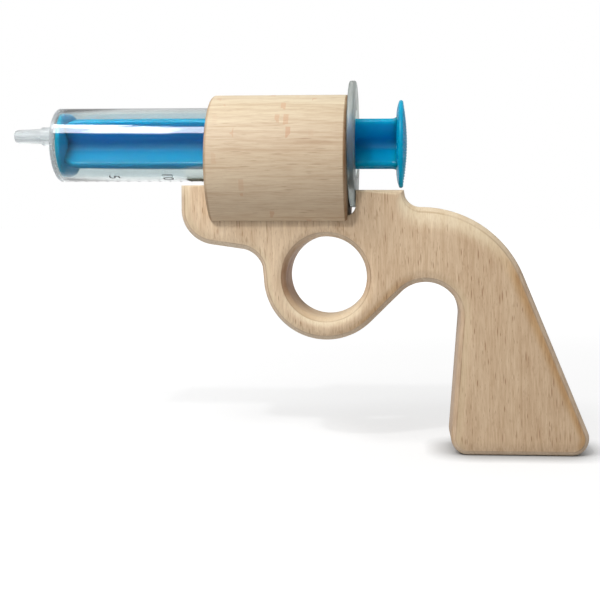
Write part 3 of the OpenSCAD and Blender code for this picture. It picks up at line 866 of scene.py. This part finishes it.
def blue_material():
    """Glossy moulded plastic in blue, with cloudy colour, faint flow lines along the rod and fine texture."""
    material, tree, output = new_material("blue_plastic")
    place = add_node(tree, "TexCoord").outputs["Object"]
    along = add_node(tree, "Mapping", {"Vector": place, "Scale": (120, 900, 900)}).outputs[0]
    flow = add_node(tree, "TexNoise", {"Vector": along, "Scale": 0.5, "Detail": 4.0}).outputs["Fac"]
    cloud = add_node(tree, "TexNoise", {"Vector": place, "Scale": 70.0, "Detail": 2.0}).outputs["Fac"]
    grainy = add_node(tree, "TexNoise", {"Vector": place, "Scale": 3200.0, "Detail": 2.0}).outputs["Fac"]
    colour = mix_colour(tree, ramp(tree, cloud, 0.3, 0.7), srgb(0, 139, 181), srgb(3, 147, 189))
    # Along the fins the blue changes a little from the tips inward, and towards their root it is deepened: painted
    # shade in the corners between the fins.
    root = add_node(tree, "Attribute", attribute_name="root").outputs["Fac"]
    colour = mix_colour(tree, ramp(tree, root, 0.0, 0.25), colour, srgb(0, 148, 197))
    colour = mix_colour(tree, ramp(tree, root, 0.35, 0.95, 0.0, 0.45), colour, srgb(0, 92, 160))
    ribbed = ramp(tree, add_node(tree, "SeparateXYZ", {0: place}).outputs["X"], thumb_x * MM, (thumb_x + 2) * MM)
    roughness = sums(tree, "MULTIPLY_ADD", ribbed, 0.3, ramp(tree, flow, 0.3, 0.75, 0.16, 0.28))
    # The mould can't be polished down in the corners between the fins, so they are dull.
    roughness = sums(tree, "MULTIPLY_ADD", ramp(tree, root, 0.6, 0.85), 0.4, roughness)
    height = sums(tree, "MULTIPLY_ADD", grainy, 0.25, flow)
    bump = add_node(tree, "Bump", {"Height": height, "Strength": 0.12, "Distance": 0.00008}).outputs[0]
    shader = add_node(
        tree,
        "BsdfPrincipled",
        {"Base Color": colour, "Roughness": roughness, "Normal": bump, "Specular IOR Level": 0.2},
    )
    shader.inputs["Subsurface Weight"].default_value = 1.0
    shader.inputs["Subsurface Radius"].default_value = (0.25, 0.85, 1.0)
    shader.inputs["Subsurface Scale"].default_value = 0.009
    tree.links.new(shader.outputs[0], output.inputs["Surface"])
    return material


plunger_piece.data.materials.append(blue_material())


# Floor and light
# A plain white table and white all round, as in a product photograph.
# Two soft boxes stand high on the left, and a small bright lamp nearer to the middle.

floor_mesh = bpy.data.meshes.new("floor")
floor_half = 6.0
floor_corners = np.array([[-1, -1, 0], [1, -1, 0], [1, 1, 0], [-1, 1, 0]]) * floor_half
floor_mesh.from_pydata((floor_corners + [0, 0, board_low[2] * MM]).tolist(), [], [(0, 1, 2, 3)])
floor = bpy.data.objects.new("floor", floor_mesh)
bpy.context.collection.objects.link(floor)
table_white, table_tree, table_output = new_material("table_white")
# The table is white to the camera and through clear plastic, and grey where the plastic mirrors its front.
table_path = add_node(table_tree, "LightPath").outputs
table_place = add_node(table_tree, "TexCoord").outputs["Object"]
table_behind = ramp(table_tree, add_node(table_tree, "SeparateXYZ", {0: table_place}).outputs["Y"], 0.0, 0.06)
table_mirrored = sums(table_tree, "GREATER_THAN", table_path["Glossy Depth"], 0.5)
table_seen = sums(table_tree, "MAXIMUM", table_path["Is Camera Ray"], table_path["Is Transmission Ray"])
table_seen = sums(table_tree, "MULTIPLY", table_seen, sums(table_tree, "SUBTRACT", 1.0, table_mirrored))
table_inside = sums(table_tree, "GREATER_THAN", table_path["Transmission Depth"], 0.5)
table_white_part = sums(table_tree, "MAXIMUM", table_behind, sums(table_tree, "MULTIPLY", table_inside, 0.2))
table_seen = sums(table_tree, "MULTIPLY_ADD", table_mirrored, table_white_part, table_seen)
table_seen = sums(table_tree, "MULTIPLY", table_seen, sums(table_tree, "LESS_THAN", table_path["Diffuse Depth"], 0.5))
table_colour = mix_colour(table_tree, table_seen, (0.62, 0.62, 0.62, 1), (0.38, 0.38, 0.38, 1))
table_front = sums(table_tree, "MULTIPLY", table_mirrored, sums(table_tree, "SUBTRACT", 1.0, table_behind))
table_colour = mix_colour(table_tree, table_front, table_colour, (0.12, 0.12, 0.12, 1))
table_matt = add_node(table_tree, "BsdfDiffuse", {"Color": table_colour})
table_reach = add_node(table_tree, "VectorMath", {0: table_place}, operation="LENGTH").outputs["Value"]
table_level = ramp(table_tree, table_reach, 0.05, 0.7, 0.64, 0.95)
# Next to the object the white of the table is shaded, more so the closer it is.
table_shade = add_node(table_tree, "AmbientOcclusion", {"Distance": 0.009}, samples=8).outputs["AO"]
table_level = sums(table_tree, "MULTIPLY", table_level, sums(table_tree, "POWER", table_shade, 2.0))
table_glow = add_node(table_tree, "Emission", {"Strength": sums(table_tree, "MULTIPLY", table_seen, table_level)})
table_sum = add_node(table_tree, "AddShader", {0: table_matt.outputs[0], 1: table_glow.outputs[0]})
table_tree.links.new(table_sum.outputs[0], table_output.inputs["Surface"])
floor_mesh.materials.append(table_white)

world = bpy.data.worlds.new("studio")
bpy.context.scene.world = world
world.use_nodes = True
sky = world.node_tree
sky.nodes.clear()
sky_output = add_node(sky, "OutputWorld")
# All round it is white to the camera and through clear plastic, dimmer as gloss mirrors it, and else a soft light.
sky_path = add_node(sky, "LightPath").outputs
sky_seen = sums(sky, "MAXIMUM", sky_path["Is Camera Ray"], sky_path["Is Transmission Ray"])
sky_turns = sums(sky, "ADD", sky_path["Glossy Depth"], sky_path["Diffuse Depth"])
sky_seen = sums(sky, "MULTIPLY", sky_seen, sums(sky, "LESS_THAN", sky_turns, 0.5))
sky_ways = add_node(sky, "SeparateXYZ", {0: add_node(sky, "TexCoord").outputs["Generated"]}).outputs
sky_way = sky_ways["Y"]
sky_high = sums(sky, "MULTIPLY_ADD", sky_ways["Z"], 0.6, sums(sky, "MULTIPLY", sky_way, 0.7))
sky_high = sums(sky, "MULTIPLY_ADD", sky_ways["X"], 0.3, sky_high)
sky_outer = ramp(sky, sky_way, -0.3, 0.5, 0.05, 0.5)
sky_inner = ramp(sky, sky_way, -0.3, 0.5, 0.16, 0.9)
sky_inside = sums(sky, "GREATER_THAN", sky_path["Transmission Depth"], 0.5)
sky_gloss = add_node(sky, "Mix", {0: sky_inside, 2: sky_outer, 3: sky_inner}).outputs[0]
sky_soft = ramp(sky, sky_high, -0.5, 0.9, 0.1, 0.62)
sky_shiny = sums(sky, "GREATER_THAN", sky_path["Glossy Depth"], 0.5)
sky_level = add_node(sky, "Mix", {0: sky_shiny, 2: sky_soft, 3: sky_gloss}).outputs[0]
sky_level = sums(sky, "MAXIMUM", sky_seen, sky_level)
sky_light = add_node(sky, "Background", {"Color": (1, 1, 1, 1), "Strength": sky_level})
sky.links.new(sky_light.outputs[0], sky_output.inputs["Surface"])


def add_lamp(name, aim, azimuth, elevation, distance, width, height, radiance):
    """A soft box seen from aim at an azimuth (0 is the camera's side, positive to +X) and elevation in degrees.

    An area lamp of power P and area A shines with a radiance of P / (pi A).
    """
    a, e = math.radians(azimuth), math.radians(elevation)
    away = Vector((math.sin(a) * math.cos(e), -math.cos(a) * math.cos(e), math.sin(e)))
    lamp = bpy.data.lights.new(name, "AREA")
    lamp.shape = "RECTANGLE"
    lamp.size, lamp.size_y = width, height
    lamp.energy = radiance * math.pi * width * height
    holder = bpy.data.objects.new(name, lamp)
    holder.location = Vector(aim) + away * distance
    holder.rotation_euler = (-away).to_track_quat("-Z", "Y").to_euler()
    bpy.context.collection.objects.link(holder)


tube_middle = (-0.113, 0, syringe_z * MM)
add_lamp("tall_soft_box", tube_middle, -22, 42, distance=0.5, width=0.23, height=0.17, radiance=7.6)
add_lamp("key_soft_box", tube_middle, -45, 51, distance=0.55, width=0.14, height=0.1, radiance=23.5)
add_lamp("small_lamp", tube_middle, -12, 45.5, distance=0.62, width=0.035, height=0.035, radiance=315.0)


# Camera
# Level with the middle of the board and a little behind the ring, as the photograph was taken.

FRAME_WIDTH = 600
focal_px = 1003.4
camera_dip, camera_turn = math.radians(2.577), math.radians(2.988)
camera_data = bpy.data.cameras.new("camera")
camera = bpy.data.objects.new("camera", camera_data)
camera_data.sensor_width = 36.0
camera_data.lens = camera_data.sensor_width * focal_px / FRAME_WIDTH
camera_data.shift_x, camera_data.shift_y = -0.09, -0.06
camera.location = (-0.033, -0.2982, 0.06847)
camera.rotation_euler = (math.radians(90) - camera_dip, 0, camera_turn)
bpy.context.collection.objects.link(camera)
bpy.context.scene.camera = camera
bpy.context.scene.view_settings.view_transform = "Standard"
